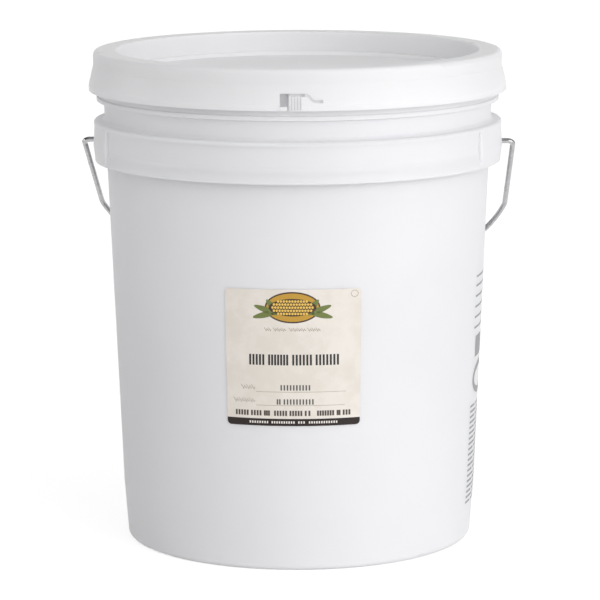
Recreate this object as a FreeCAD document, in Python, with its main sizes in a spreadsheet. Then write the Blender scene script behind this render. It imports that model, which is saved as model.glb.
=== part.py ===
"""A five gallon plastic pail of corn syrup, shut with a press-on lid, with a bail and a paper label.

Millimetres, +Z up.  The origin is the centre of the base, the label faces -Y and the two ears lie along X.
"""
import FreeCAD, Part
import math
import os

import Sketcher

# Driving dimensions: name, value, meaning.
SIZES = [
    ("foot_corner", 4.3, "rounding of the base corner"),
    ("foot_recess", 3.0, "depth of the dished underside"),
    ("foot_rim", 9.0, "width of the flat ring that the pail stands on"),
    ("bend_height", 42.0, "height at which the steep foot meets the wall"),
    ("bend_flare", 3.1, "how much wider the wall is there than the base"),
    ("neck_height", 331.4, "height of the top of the tapered wall, under the rim bead"),
    ("neck_radius", 145.35, "wall radius there"),
    ("wall_taper", 12.05, "how much wider the neck is than the wall at the foot's top"),
    ("low_ring_drop", 44.2, "drop from the neck's top to the lower ring's lip"),
    ("low_ring_inset", 0.6, "set-back of that lip from the upper ring's"),
    ("low_ring_rise", 11.5, "height of the lower ring's flare over its lip"),
    ("lip_height", 1.4, "height of the upright edge of the lower ring"),
    ("ring_wall", 2.2, "thickness of the lower ring's skirt"),
    ("ring_hollow", 8.0, "depth of the hollow inside that skirt"),
    ("top_ring_drop", 17.1, "drop from the neck's top to the upper ring's lip"),
    ("top_ring_reach", 7.55, "how far the upper lip stands out past the neck"),
    ("top_ring_rise", 3.0, "height of the upper ring's edge, from its lip to its flat ledge"),
    ("ledge_round", 2.6, "rounding between the neck and that ledge"),
    ("ledge_edge", 1.8, "rounding of the ledge's outer edge"),
    ("band_inset", 2.2, "set-back of the wall between the rings from the upper lip"),
    ("band_taper", 0.6, "how much further back that wall is at its lower end"),
    ("rim_rise", 1.2, "height of the rim bead's foot over the neck's top"),
    ("rim_reach", 5.35, "how far the rim bead stands out past the neck"),
    ("rim_bead", 2.6, "height of the rim bead"),
    ("rim_step", 1.0, "set-back of the rim above its bead"),
    ("ear_half_angle", 25.2, "half of the arc that each ear covers, in degrees"),
    ("ear_stand", 0.5, "how far the ears stand out past the upper lip"),
    ("ear_slope", 9.0, "height of the slope from the lower ring's lip up to the ear's upright face"),
    ("ear_round", 1.5, "rounding of the ear's upright edges"),
    ("ear_top_inset", 0.4, "how far the ear's top stays inside the upper ring"),
    ("pivot_drop", 31.0, "drop from the neck's top to the bail's axis"),
    ("pivot_gap", 0.3, "radial clearance round the bail's ends"),
    ("pivot_depth", 16.0, "depth of the holes in the ears"),
    ("lid_rise", 38.1, "height of the lid's top over the neck's top"),
    ("lid_wall", 2.2, "thickness of the lid"),
    ("lid_rim_gap", 0.1, "clearance between the lid's skirt and the rim bead"),
    ("lid_flare_drop", 10.5, "drop from the lid's top to where its skirt starts to flare"),
    ("lid_depth", 29.4, "height of the lid's skirt"),
    ("lid_flare", 3.4, "how much wider the skirt's lower edge is"),
    ("lid_foot_edge", 4.4, "height of the upright edge at the skirt's foot"),
    ("lid_round", 3.4, "rounding of the lid's outer top corner"),
    ("lid_ring_width", 15.0, "width of the lid's top ring, inside the rim bead"),
    ("lid_inner_draft", 1.0, "how much the recess narrows towards its floor"),
    ("lid_ledge_drop", 15.3, "drop from the lid's top to the ledge inside the recess"),
    ("lid_ledge_width", 5.0, "width of that ledge"),
    ("lid_panel_drop", 17.9, "drop from the lid's top to its sunken panel"),
    ("lid_panel_run", 1.2, "width of the slope from the ledge to the panel"),
    ("lid_disc_radius", 54.0, "radius of the raised disc on the panel"),
    ("lid_disc_height", 1.2, "height of that disc"),
    ("lid_fit", 0.3, "clearance between the lid's plug and the pail"),
    ("lid_headspace", 0.5, "clearance under the lid's panel"),
    ("tab_angle", -0.3, "turn of the tear strip's slot from the front, in degrees"),
    ("slot_half_angle", 1.15, "half width of the slot, in degrees"),
    ("slot_rise", 3.2, "height of the slot's lower end over the skirt's foot"),
    ("slot_height", 9.1, "height of the slot"),
    ("tab_rise", 0.4, "height of the pull tab's lower end over the skirt's foot"),
    ("slit_half_angle", 0.2, "half width of the slit from the slot down to the skirt's foot, in degrees"),
    ("bridge_half_angle", 0.88, "half width of the raised bridge under the slot, in degrees"),
    ("score_depth", 1.4, "depth of the score line over the pull tab"),
    ("score_height", 2.0, "height of that score line"),
    ("score_sweep", 5.4, "length of the score line past the slot, in degrees"),
    ("tail_radius", 4.4, "radius of the bends in the score line's tail"),
    ("tail_drop", 4.6, "how far the tail drops"),
    ("tail_length", 5.0, "length of the tail's last straight run"),
    ("tail_groove", 1.05, "radius of the tail's groove"),
    ("rib_height", 0.6, "how far the ribs of the pull tab stand out"),
    ("rib_half_angle", 0.19, "half width of a rib, in degrees"),
    ("rib_pitch", 0.77, "spacing of the ribs, in degrees"),
    ("rib_count", 5, "number of ribs"),
    ("rib_start", 1.55, "turn from the slot's middle to the first rib, in degrees"),
    ("wire_radius", 2.0, "radius of the bail's wire"),
    ("bail_lid_gap", 0.5, "gap between the upright bail and the lid's lower edge"),
    ("bail_bend", 4.2, "radius of the bend outside the ears"),
    ("bail_lean", 3.7, "inward lean of the arms, in degrees"),
    ("bail_arm", 80.0, "length of the straight arms"),
    ("bail_shoulder", 30.0, "radius of the shoulder bend"),
    ("bail_corner", 62.0, "radius of the bends beside the grip"),
    ("grip_radius", 10.0, "radius of the hand grip"),
    ("grip_half_length", 44.0, "half length of the grip"),
    ("grip_end_gap", 2.0, "straight wire past each end of the grip"),
    ("grip_collar_height", 1.6, "how far the collars at the grip's ends stand out"),
    ("grip_collar_width", 4.5, "width of those collars"),
    ("grip_bore_gap", 0.2, "clearance of the wire in the grip"),
    ("grip_round", 1.4, "rounding of the collars"),
    ("rest_gap", 0.3, "gap between the hanging grip and the wall behind it"),
    ("label_foot", 109.3, "height of the label's lower edge"),
    ("label_height", 100.6, "height of the label"),
    ("label_half_angle", 20.5, "half of the arc that the label covers, in degrees"),
    ("label_turn", 1.6, "turn of the label from the front, in degrees"),
    ("label_corner", 3.0, "rounding of the label's corners"),
    ("label_thickness", 0.3, "thickness of the label"),
    ("label_gap", 0.1, "gap behind the label"),
]

# Places and radii that follow from the sizes: name, where it starts, which way, and by which size.
PLACES = [
    ("bend_radius", "neck_radius", "-", "wall_taper"),
    ("foot_radius", "bend_radius", "-", "bend_flare"),
    ("low_ring_lip", "neck_height", "-", "low_ring_drop"),
    ("low_ring_top", "low_ring_lip", "+", "low_ring_rise"),
    ("top_ring_lip", "neck_height", "-", "top_ring_drop"),
    ("top_ring_ledge", "top_ring_lip", "+", "top_ring_rise"),
    ("top_ring_radius", "neck_radius", "+", "top_ring_reach"),
    ("low_ring_radius", "top_ring_radius", "-", "low_ring_inset"),
    ("band_radius", "top_ring_radius", "-", "band_inset"),
    ("rim_foot", "neck_height", "+", "rim_rise"),
    ("rim_bead_top", "rim_foot", "+", "rim_bead"),
    ("rim_radius", "neck_radius", "+", "rim_reach"),
    ("ear_radius", "top_ring_radius", "+", "ear_stand"),
    ("ear_foot", "low_ring_lip", "+", "lip_height"),
    ("ear_corner", "ear_foot", "+", "ear_slope"),
    ("pivot_height", "neck_height", "-", "pivot_drop"),
    ("total_height", "neck_height", "+", "lid_rise"),
    ("lid_bore", "rim_radius", "+", "lid_rim_gap"),
    ("lid_radius", "lid_bore", "+", "lid_wall"),
    ("lid_foot_radius", "lid_radius", "+", "lid_flare"),
    ("lid_inner_radius", "rim_radius", "-", "lid_ring_width"),
    ("lid_flare_height", "total_height", "-", "lid_flare_drop"),
    ("lid_foot_height", "total_height", "-", "lid_depth"),
    ("lid_ledge_height", "total_height", "-", "lid_ledge_drop"),
    ("lid_panel_height", "total_height", "-", "lid_panel_drop"),
    ("slot_foot", "lid_foot_height", "+", "slot_rise"),
    ("slot_top", "slot_foot", "+", "slot_height"),
    ("grip_collar", "grip_radius", "+", "grip_collar_height"),
    ("bail_straight", "grip_half_length", "+", "grip_end_gap"),
]
SIZE = {name: value for name, value, meaning in SIZES}
for name, base, way, step in PLACES:
    SIZE[name] = SIZE[base] + SIZE[step] if way == "+" else SIZE[base] - SIZE[step]
PLACE = {name: (base, way, step) for name, base, way, step in PLACES}
# The bail passes the lid's lower edge when it stands upright, and its arms lean in on the way there.
# Its large arc has the same radius as its half width.
SIZE["bail_half_width"] = (
    SIZE["lid_foot_radius"] + SIZE["bail_lid_gap"] + SIZE["wire_radius"]
    + (SIZE["lid_foot_height"] - SIZE["pivot_height"]) * math.tan(math.radians(SIZE["bail_lean"]))
)
AXIS_X = FreeCAD.Vector(1, 0, 0)
AXIS_Z = FreeCAD.Vector(0, 0, 1)

doc = FreeCAD.newDocument("SyrupPail")


def make_sheet():
    """Write every driving dimension into a cell of its own."""
    sheet = doc.addObject("Spreadsheet::Sheet", "Sizes")
    for row, (name, value, meaning) in enumerate(SIZES, start=1):
        sheet.set(f"A{row}", name)
        sheet.set(f"B{row}", str(value))
        sheet.set(f"C{row}", meaning)
        sheet.setAlias(f"B{row}", name)
    doc.recompute()
    return sheet


def cell(name):
    """The expression that reads one size, or works out one place from its sizes."""
    if name in PLACE:
        base, way, step = PLACE[name]
        return f"({cell(base)} {way} {cell(step)})"
    return f"Sizes.{name}"


def bail_width():
    """The expression for the distance of the bail's arms from the middle, at the axis."""
    rise = f"({cell('lid_foot_height')} - {cell('pivot_height')})"
    return (f"({cell('lid_foot_radius')} + {cell('bail_lid_gap')} + {cell('wire_radius')}"
            f" + {rise} * tan({cell('bail_lean')} * 1deg))")


def wall_at(height):
    """The expression for the radius of the tapered wall at a height."""
    gain = f"({cell('neck_radius')} - {cell('bend_radius')})"
    climb = f"({cell('neck_height')} - {cell('bend_height')})"
    return f"{cell('bend_radius')} + {gain} / {climb} * ({height} - {cell('bend_height')})"


def wall_radius(height):
    """The radius of the tapered wall at a height, as a number."""
    gain = SIZE["neck_radius"] - SIZE["bend_radius"]
    climb = SIZE["neck_height"] - SIZE["bend_height"]
    return SIZE["bend_radius"] + gain / climb * (height - SIZE["bend_height"])


def new_body(label):
    """An empty body with its own label."""
    body = doc.addObject("PartDesign::Body", label)
    body.Label = label
    return body


def origin_item(body, role):
    """One of a body's own origin planes or axes."""
    for item in body.Origin.OriginFeatures:
        if item.Role == role:
            return item
    raise RuntimeError(f"{body.Label} has no {role}")


def new_sketch(body, name, plane="XZ_Plane"):
    """A sketch on one of the body's own origin planes."""
    sketch = body.newObject("Sketcher::SketchObject", name)
    sketch.AttachmentSupport = [(origin_item(body, plane), "")]
    sketch.MapMode = "FlatFace"
    return sketch


def bind(sketch, constraint, expression):
    """Add a constraint and tie its value to an expression."""
    index = sketch.addConstraint(constraint)
    sketch.setExpression(f"Constraints[{index}]", expression)


def pin(sketch, edge, end, across, up):
    """Tie one end of an edge to expressions; a zero puts it on the axis itself."""
    if across == "0":
        sketch.addConstraint(Sketcher.Constraint("PointOnObject", edge, end, -2))
    else:
        bind(sketch, Sketcher.Constraint("DistanceX", -1, 1, edge, end, 1.0), across)
    if up == "0":
        sketch.addConstraint(Sketcher.Constraint("PointOnObject", edge, end, -1))
    else:
        bind(sketch, Sketcher.Constraint("DistanceY", -1, 1, edge, end, 1.0), up)


def outline(sketch, corners):
    """A closed outline of straight edges, each corner tied to two expressions."""
    count = len(corners)
    start = [FreeCAD.Vector(math.cos(turn), math.sin(turn), 0) for turn in
             (2 * math.pi * i / count for i in range(count))]
    for i in range(count):
        sketch.addGeometry(Part.LineSegment(start[i] + 2 * FreeCAD.Vector(1, 1, 0),
                                            start[(i + 1) % count] + 2 * FreeCAD.Vector(1, 1, 0)), False)
    for i in range(count):
        sketch.addConstraint(Sketcher.Constraint("Coincident", i, 2, (i + 1) % count, 1))
    for i, (across, up) in enumerate(corners):
        pin(sketch, i, 1, across, up)


def revolve(body, name, sketch, angle=None, axis="Z_Axis", kind="PartDesign::Revolution"):
    """Turn a sketch about one of the body's axes, all round or by an angle to both sides."""
    feature = body.newObject(kind, name)
    feature.Profile = sketch
    feature.ReferenceAxis = (origin_item(body, axis), [""])
    if angle is None:
        feature.Angle = 360
    else:
        feature.Midplane = True
        feature.setExpression("Angle", angle)
    doc.recompute()
    return feature


def round_edges(body, name, picks, radius, axis=AXIS_Z):
    """Round the circular edges of the body's tip that have the given radii and places along an axis."""
    base = body.Tip
    names = []
    for number, edge in enumerate(base.Shape.Edges, start=1):
        curve = edge.Curve
        if not isinstance(curve, Part.Circle):
            continue
        for ring_radius, place in picks:
            if abs(curve.Radius - ring_radius) < 0.05 and abs(curve.Center.dot(axis) - place) < 0.05:
                names.append(f"Edge{number}")
                break
    if not names:
        raise RuntimeError(f"{name} found no edge")
    fillet = body.newObject("PartDesign::Fillet", name)
    fillet.Base = (base, names)
    fillet.setExpression("Radius", radius)
    doc.recompute()
    return fillet


def ring_corners():
    """The corners of both stacking rings, from the lower one's hollow up to the upper one's ledge."""
    hollow = f"{cell('low_ring_lip')} + {cell('ring_hollow')}"
    skirt = f"{cell('low_ring_radius')} - {cell('ring_wall')}"
    return [
        (wall_at(f"({hollow})"), hollow),
        (skirt, hollow),
        (skirt, cell("low_ring_lip")),
        (cell("low_ring_radius"), cell("low_ring_lip")),
        (cell("low_ring_radius"), f"{cell('low_ring_lip')} + {cell('lip_height')}"),
        (f"{cell('band_radius')} - {cell('band_taper')}", cell("low_ring_top")),
        (cell("band_radius"), cell("top_ring_lip")),
        (cell("top_ring_radius"), cell("top_ring_lip")),
        (cell("top_ring_radius"), cell("top_ring_ledge")),
        (wall_at(cell("top_ring_ledge")), cell("top_ring_ledge")),
    ]


def make_pail():
    """The filled pail: tapered wall, two stacking rings, rim and two ears with their holes."""
    body = new_body("pail")
    sketch = new_sketch(body, "pail_outline")
    plug = f"{cell('lid_inner_radius')} + {cell('lid_wall')} + {cell('lid_fit')}"
    level = f"{cell('lid_panel_height')} - {cell('lid_wall')} - {cell('lid_headspace')}"
    rim_top = f"{cell('total_height')} - {cell('lid_wall')}"
    rim = f"{cell('rim_radius')} - {cell('rim_step')}"
    stand = f"{cell('foot_radius')} - {cell('foot_corner')} - {cell('foot_rim')}"
    outline(sketch, [
        ("0", cell("foot_recess")),
        (f"{stand} - {cell('foot_recess')}", cell("foot_recess")),
        (stand, "0"),
        (cell("foot_radius"), "0"),
        (cell("bend_radius"), cell("bend_height")),
        *ring_corners(),
        (cell("neck_radius"), cell("neck_height")),
        (cell("rim_radius"), cell("rim_foot")),
        (cell("rim_radius"), cell("rim_bead_top")),
        (rim, f"{cell('rim_bead_top')} + {cell('rim_step')}"),
        (rim, rim_top),
        (plug, rim_top),
        (plug, level),
        ("0", level),
    ])
    revolve(body, "pail_turned", sketch)
    round_edges(body, "foot_rounding", [(SIZE["foot_radius"], 0.0)], cell("foot_corner"))
    ledge = SIZE["top_ring_ledge"]
    round_edges(body, "ledge_rounding", [(wall_radius(ledge), ledge)], cell("ledge_round"))
    round_edges(body, "ledge_edge_rounding", [(SIZE["top_ring_radius"], ledge)], cell("ledge_edge"))
    add_ears(body)
    return body


def add_ears(body):
    """Add the two ears between the rings, each with the blind hole that holds an end of the bail."""
    sketch = new_sketch(body, "ear_outline")
    inside = f"{cell('band_radius')} - {cell('ring_wall')}"
    top = f"{cell('top_ring_lip')} + {cell('lip_height')} / 2"
    outline(sketch, [
        (inside, cell("ear_foot")),
        (cell("low_ring_radius"), cell("ear_foot")),
        (cell("ear_radius"), cell("ear_corner")),
        (cell("ear_radius"), cell("pivot_height")),
        (f"{cell('top_ring_radius')} - {cell('ear_top_inset')}", top),
        (inside, top),
    ])
    ear = revolve(body, "ear", sketch, f"2 * {cell('ear_half_angle')}")

    hole_sketch = new_sketch(body, "ear_hole_outline", "YZ_Plane")
    hole_sketch.setExpression("AttachmentOffset.Base.z", f"{cell('ear_radius')} - {cell('pivot_depth')}")
    hole_sketch.addGeometry(Part.Circle(FreeCAD.Vector(0, 1, 0), AXIS_Z, 1.0), False)
    pin(hole_sketch, 0, 3, "0", cell("pivot_height"))
    bind(hole_sketch, Sketcher.Constraint("Radius", 0, 1.0), f"{cell('wire_radius')} + {cell('pivot_gap')}")
    doc.recompute()
    before = body.Shape.Volume
    hole = body.newObject("PartDesign::Pocket", "ear_hole")
    hole.Profile = hole_sketch
    hole.Reversed = True
    hole.setExpression("Length", f"2 * {cell('pivot_depth')}")
    doc.recompute()
    bore = math.pi * (SIZE["wire_radius"] + SIZE["pivot_gap"]) ** 2 * SIZE["pivot_depth"]
    if abs(before - body.Shape.Volume - bore) > 0.1 * bore:
        raise RuntimeError("the ear's hole has the wrong depth")

    other = body.newObject("PartDesign::Mirrored", "other_ear")
    other.Originals = [ear, hole]
    other.MirrorPlane = (origin_item(body, "YZ_Plane"), [""])
    body.Tip = other
    doc.recompute()
    round_ears(body)


def round_ears(body):
    """Round the ears' upright edges, which all lie at one angle from the X axis."""
    base = body.Tip
    names = []
    for number, edge in enumerate(base.Shape.Edges, start=1):
        ends = [vertex.Point for vertex in edge.Vertexes]
        if not isinstance(edge.Curve, Part.Line) or len(ends) != 2:
            continue
        turns = [math.degrees(math.atan2(abs(end.y), abs(end.x))) for end in ends]
        radii = [math.hypot(end.x, end.y) for end in ends]
        in_line = all(abs(turn - SIZE["ear_half_angle"]) < 0.01 for turn in turns)
        if in_line and min(radii) > SIZE["band_radius"] + 0.01:
            names.append(f"Edge{number}")
    if len(names) != 12:
        raise RuntimeError(f"the ears have {len(names)} upright edges, not 12")
    fillet = body.newObject("PartDesign::Fillet", "ear_rounding")
    fillet.Base = (base, names)
    fillet.setExpression("Radius", cell("ear_round"))
    doc.recompute()


def make_lid():
    """The lid: a skirt over the pail's rim, a flat ring, a sunken panel and the tear strip's tab."""
    body = new_body("lid")
    sketch = new_sketch(body, "lid_outline")
    plug = f"{cell('lid_inner_radius')} + {cell('lid_wall')}"
    rest = f"{cell('total_height')} - {cell('lid_wall')}"
    under = f"{cell('lid_panel_height')} - {cell('lid_wall')}"
    floor = f"{cell('lid_inner_radius')} - {cell('lid_inner_draft')}"
    ledge = f"{floor} - {cell('lid_ledge_width')}"
    outline(sketch, [
        ("0", under),
        (plug, under),
        (plug, rest),
        (cell("lid_bore"), rest),
        (cell("lid_bore"), cell("lid_flare_height")),
        (f"{cell('lid_foot_radius')} - {cell('lid_wall')}", cell("lid_foot_height")),
        (cell("lid_foot_radius"), cell("lid_foot_height")),
        (cell("lid_foot_radius"), f"{cell('lid_foot_height')} + {cell('lid_foot_edge')}"),
        (cell("lid_radius"), cell("lid_flare_height")),
        (cell("lid_radius"), cell("total_height")),
        (cell("lid_inner_radius"), cell("total_height")),
        (floor, cell("lid_ledge_height")),
        (ledge, cell("lid_ledge_height")),
        (f"{ledge} - {cell('lid_panel_run')}", cell("lid_panel_height")),
        (cell("lid_disc_radius"), cell("lid_panel_height")),
        (f"{cell('lid_disc_radius')} - {cell('lid_disc_height')}",
         f"{cell('lid_panel_height')} + {cell('lid_disc_height')}"),
        ("0", f"{cell('lid_panel_height')} + {cell('lid_disc_height')}"),
    ])
    revolve(body, "lid_turned", sketch)
    round_edges(body, "lid_corner", [(SIZE["lid_radius"], SIZE["total_height"])], cell("lid_round"))
    round_edges(body, "lid_inner_corner", [(SIZE["lid_inner_radius"], SIZE["total_height"])],
                f"{cell('lid_wall')} / 2")
    cut_tab(body)
    return body


def facing(turn, distance=0.0):
    """The offset that makes a sketch on the XZ plane a section through the axis, turned from the front.

    With a distance, the sketch lies flat against the skirt there instead.
    """
    if not distance:
        return FreeCAD.Placement(FreeCAD.Vector(), FreeCAD.Rotation(FreeCAD.Vector(0, 1, 0), turn - 90))
    angle = math.radians(turn)
    place = distance * FreeCAD.Vector(math.sin(angle), 0, math.cos(angle))
    return FreeCAD.Placement(place, FreeCAD.Rotation(FreeCAD.Vector(0, 1, 0), turn))


def skirt_at(height):
    """The expression for the outer radius of the lid's flared skirt at a height."""
    foot = f"({cell('lid_foot_height')} + {cell('lid_foot_edge')})"
    slope = (f"({cell('lid_foot_radius')} - {cell('lid_radius')})"
             f" / ({cell('lid_flare_height')} - {foot})")
    return f"{cell('lid_radius')} + {slope} * ({cell('lid_flare_height')} - ({height}))"


def skirt_radius(height):
    """The outer radius of the lid's flared skirt at a height, as a number."""
    foot = SIZE["lid_foot_height"] + SIZE["lid_foot_edge"]
    slope = (SIZE["lid_foot_radius"] - SIZE["lid_radius"]) / (SIZE["lid_flare_height"] - foot)
    return SIZE["lid_radius"] + slope * (SIZE["lid_flare_height"] - height)


def cut_sector(body, name, turn, corners, angle, least):
    """Cut an outline through an arc of the skirt, and check that at least so much went."""
    sketch = new_sketch(body, f"{name}_outline")
    sketch.AttachmentOffset = facing(turn)
    outline(sketch, corners)
    before = body.Shape.Volume
    revolve(body, name, sketch, angle, kind="PartDesign::Groove")
    if body.Shape.Volume > before - least:
        raise RuntimeError(f"{name} cuts nothing")


def cut_tab(body):
    """Cut the slot, slit and score line of the tear strip, and raise its bridge and ribs."""
    inside = f"{cell('lid_radius')} - 2 * {cell('lid_wall')}"
    outside = f"{cell('lid_foot_radius')} + {cell('lid_wall')}"
    cut_sector(body, "slot", SIZE["tab_angle"], [
        (inside, cell("slot_foot")),
        (outside, cell("slot_foot")),
        (outside, cell("slot_top")),
        (inside, cell("slot_top")),
    ], f"2 * {cell('slot_half_angle')}", 50)

    slit_turn = SIZE["tab_angle"] + SIZE["slot_half_angle"] - SIZE["slit_half_angle"]
    tab_foot = f"{cell('lid_foot_height')} + {cell('tab_rise')}"
    foot_edge = f"{cell('lid_foot_height')} + {cell('lid_foot_edge')}"
    slit_top = f"{cell('slot_foot')} + {cell('score_depth')}"
    floor = f"{cell('lid_foot_radius')} - {cell('score_depth')}"
    cut_sector(body, "slit", slit_turn, [
        (floor, tab_foot),
        (outside, tab_foot),
        (outside, slit_top),
        (floor, slit_top),
    ], f"2 * {cell('slit_half_angle')}", 1)

    score_foot = f"{cell('slot_top')} - {cell('score_height')}"
    floor = f"{skirt_at(cell('slot_top'))} - {cell('score_depth')}"
    cut_sector(body, "score", SIZE["tab_angle"] + SIZE["score_sweep"] / 2, [
        (floor, score_foot),
        (outside, score_foot),
        (outside, cell("slot_top")),
        (floor, cell("slot_top")),
    ], cell("score_sweep"), 5)
    cut_tail(body)

    foot = cell("lid_foot_radius")
    bridge_turn = SIZE["tab_angle"] + SIZE["bridge_half_angle"] - SIZE["slot_half_angle"]
    raise_patch(body, "bridge", bridge_turn, cell("bridge_half_angle"), [
        (foot, tab_foot), (foot, cell("slot_foot"))])
    rib_turn = SIZE["tab_angle"] + SIZE["rib_start"]
    rib_top = f"{score_foot} - {cell('rib_height')}"
    rib = raise_patch(body, "rib", rib_turn, cell("rib_half_angle"), [
        (foot, tab_foot), (foot, foot_edge), (skirt_at(rib_top), rib_top)])
    ribs = body.newObject("PartDesign::PolarPattern", "ribs")
    ribs.Originals = [rib]
    ribs.Axis = (origin_item(body, "Z_Axis"), [""])
    ribs.setExpression("Angle", f"({cell('rib_count')} - 1) * {cell('rib_pitch')}")
    ribs.setExpression("Occurrences", cell("rib_count"))
    body.Tip = ribs
    doc.recompute()


def raise_patch(body, name, turn, half_angle, face):
    """Raise a low patch on the skirt's face, which is given as radii and heights from the foot up."""
    sketch = new_sketch(body, f"{name}_outline")
    sketch.AttachmentOffset = facing(turn)
    back = [(f"{radius} - {cell('lid_wall')} / 2", height) for radius, height in face[::-1]]
    front = [(f"{radius} + {cell('rib_height')}", height) for radius, height in face]
    outline(sketch, front + back)
    return revolve(body, name, sketch, f"2 * {half_angle}")


def cut_tail(body):
    """Cut the score line's tail: an S bend down the skirt and a short straight run."""
    drop = SIZE["tail_drop"]
    bend = SIZE["tail_radius"]
    turn = math.acos(1 - drop / (2 * bend))
    half = bend * math.sin(turn)
    middle = SIZE["tab_angle"] + SIZE["score_sweep"] + math.degrees(half / SIZE["lid_radius"])
    level = SIZE["slot_top"] - SIZE["score_height"] / 2
    distance = skirt_radius(level - drop / 2)
    path = new_sketch(body, "tail_path")
    path.AttachmentOffset = facing(middle, distance)
    upper = FreeCAD.Vector(-half, level - bend, 0)
    lower = FreeCAD.Vector(half, level - drop + bend, 0)
    quarter = math.pi / 2
    path.addGeometry([
        Part.ArcOfCircle(Part.Circle(upper, AXIS_Z, bend), quarter - turn, quarter),
        Part.ArcOfCircle(Part.Circle(lower, AXIS_Z, bend), -quarter - turn, -quarter),
        Part.LineSegment(FreeCAD.Vector(half, level - drop, 0),
                         FreeCAD.Vector(half + SIZE["tail_length"], level - drop, 0)),
    ], False)
    path.addConstraint(Sketcher.Constraint("Tangent", 0, 1, 1, 1))
    path.addConstraint(Sketcher.Constraint("Tangent", 1, 2, 2, 1))
    path.addConstraint(Sketcher.Constraint("Horizontal", 2))
    path.addConstraint(Sketcher.Constraint("Vertical", 0, 2, 0, 3))
    score_middle = f"{cell('slot_top')} - {cell('score_height')} / 2"
    bind(path, Sketcher.Constraint("Radius", 0, bend), cell("tail_radius"))
    bind(path, Sketcher.Constraint("Radius", 1, bend), cell("tail_radius"))
    bind(path, Sketcher.Constraint("DistanceX", 2, 1, 2, 2, SIZE["tail_length"]), cell("tail_length"))
    bind(path, Sketcher.Constraint("DistanceY", -1, 1, 0, 2, level), score_middle)
    bind(path, Sketcher.Constraint("DistanceY", -1, 1, 2, 1, level - drop),
         f"{score_middle} - {cell('tail_drop')}")
    path.addConstraint(Sketcher.Constraint("PointOnObject", 0, 1, -2))
    doc.recompute()
    section = new_sketch(body, "tail_section", "YZ_Plane")
    start = facing(middle, distance).multVec(FreeCAD.Vector(-half, level, 0))
    section.AttachmentOffset = FreeCAD.Placement(
        FreeCAD.Vector(-start.z, start.y, start.x), FreeCAD.Rotation(FreeCAD.Vector(0, 1, 0), middle))
    section.addGeometry(Part.Circle(FreeCAD.Vector(0, 0, 0), AXIS_Z, SIZE["tail_groove"]), False)
    section.addConstraint(Sketcher.Constraint("Coincident", 0, 3, -1, 1))
    bind(section, Sketcher.Constraint("Radius", 0, SIZE["tail_groove"]), cell("tail_groove"))
    doc.recompute()
    before = body.Shape.Volume
    pipe = body.newObject("PartDesign::SubtractivePipe", "score_tail")
    pipe.Profile = section
    pipe.Spine = path
    doc.recompute()
    gone = before - body.Shape.Volume
    print("tail cut %.2f mm3, half of a full groove is %.2f" % (
        gone, math.pi * SIZE["tail_groove"] ** 2 / 2 * path.Shape.Length))
    if gone < 1:
        raise RuntimeError("the tail cuts nothing")


def bail_points():
    """The bail's right half as centres and turns, worked out from its bends.

    The wire leaves the ear along +X, bends down, leans inward, turns at the shoulder into the large arc,
    and ends in a tighter bend beside the straight middle.
    """
    lean = math.radians(SIZE["bail_lean"])
    bend = SIZE["bail_bend"]
    sweep = SIZE["bail_half_width"]
    corner = SIZE["bail_corner"]
    shoulder = SIZE["bail_shoulder"]
    bend_centre = FreeCAD.Vector(SIZE["bail_half_width"] - bend, -bend, 0)
    arm_top = bend_centre + bend * FreeCAD.Vector(math.cos(lean), -math.sin(lean), 0)
    arm_end = arm_top - SIZE["bail_arm"] * FreeCAD.Vector(math.sin(lean), math.cos(lean), 0)
    shoulder_centre = arm_end - shoulder * FreeCAD.Vector(math.cos(lean), -math.sin(lean), 0)
    start = math.acos(shoulder_centre.x / (sweep - shoulder))
    end = math.acos(SIZE["bail_straight"] / (sweep - corner))
    to_shoulder = (sweep - shoulder) * FreeCAD.Vector(math.cos(start), -math.sin(start), 0)
    sweep_centre = shoulder_centre - to_shoulder
    to_corner = (sweep - corner) * FreeCAD.Vector(math.cos(end), -math.sin(end), 0)
    corner_centre = sweep_centre + to_corner
    return {
        "lean": lean, "start": start, "end": end,
        "bend_centre": bend_centre, "arm_top": arm_top, "arm_end": arm_end,
        "shoulder_centre": shoulder_centre, "sweep_centre": sweep_centre, "corner_centre": corner_centre,
        "depth": corner - corner_centre.y,
    }


def bail_arc(centre, radius, from_turn, to_turn):
    """An arc of the bail between two headings, each measured inward from straight down."""
    circle = Part.Circle(centre, AXIS_Z, radius)
    return Part.ArcOfCircle(circle, -to_turn, -from_turn)


def hang_angle():
    """The angle from straight down at which the grip's middle just clears the wall behind it."""
    depth = bail_points()["depth"]
    taper = math.atan2(SIZE["neck_radius"] - SIZE["bend_radius"], SIZE["neck_height"] - SIZE["bend_height"])
    low = 0.0
    high = math.pi / 2
    while high - low > 1e-9:
        middle = (low + high) / 2
        back = depth * math.sin(middle)
        height = SIZE["pivot_height"] - depth * math.cos(middle)
        gap = (back - wall_radius(height)) * math.cos(taper) - SIZE["grip_radius"]
        if gap < SIZE["rest_gap"]:
            low = middle
        else:
            high = middle
    return math.degrees(high)


def hang(body):
    """Hang a bail part from the ears, turned back against the wall."""
    body.Placement = FreeCAD.Placement(FreeCAD.Vector(0, 0, SIZE["pivot_height"]),
                                       FreeCAD.Rotation(AXIS_X, hang_angle()))
    doc.recompute()


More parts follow.
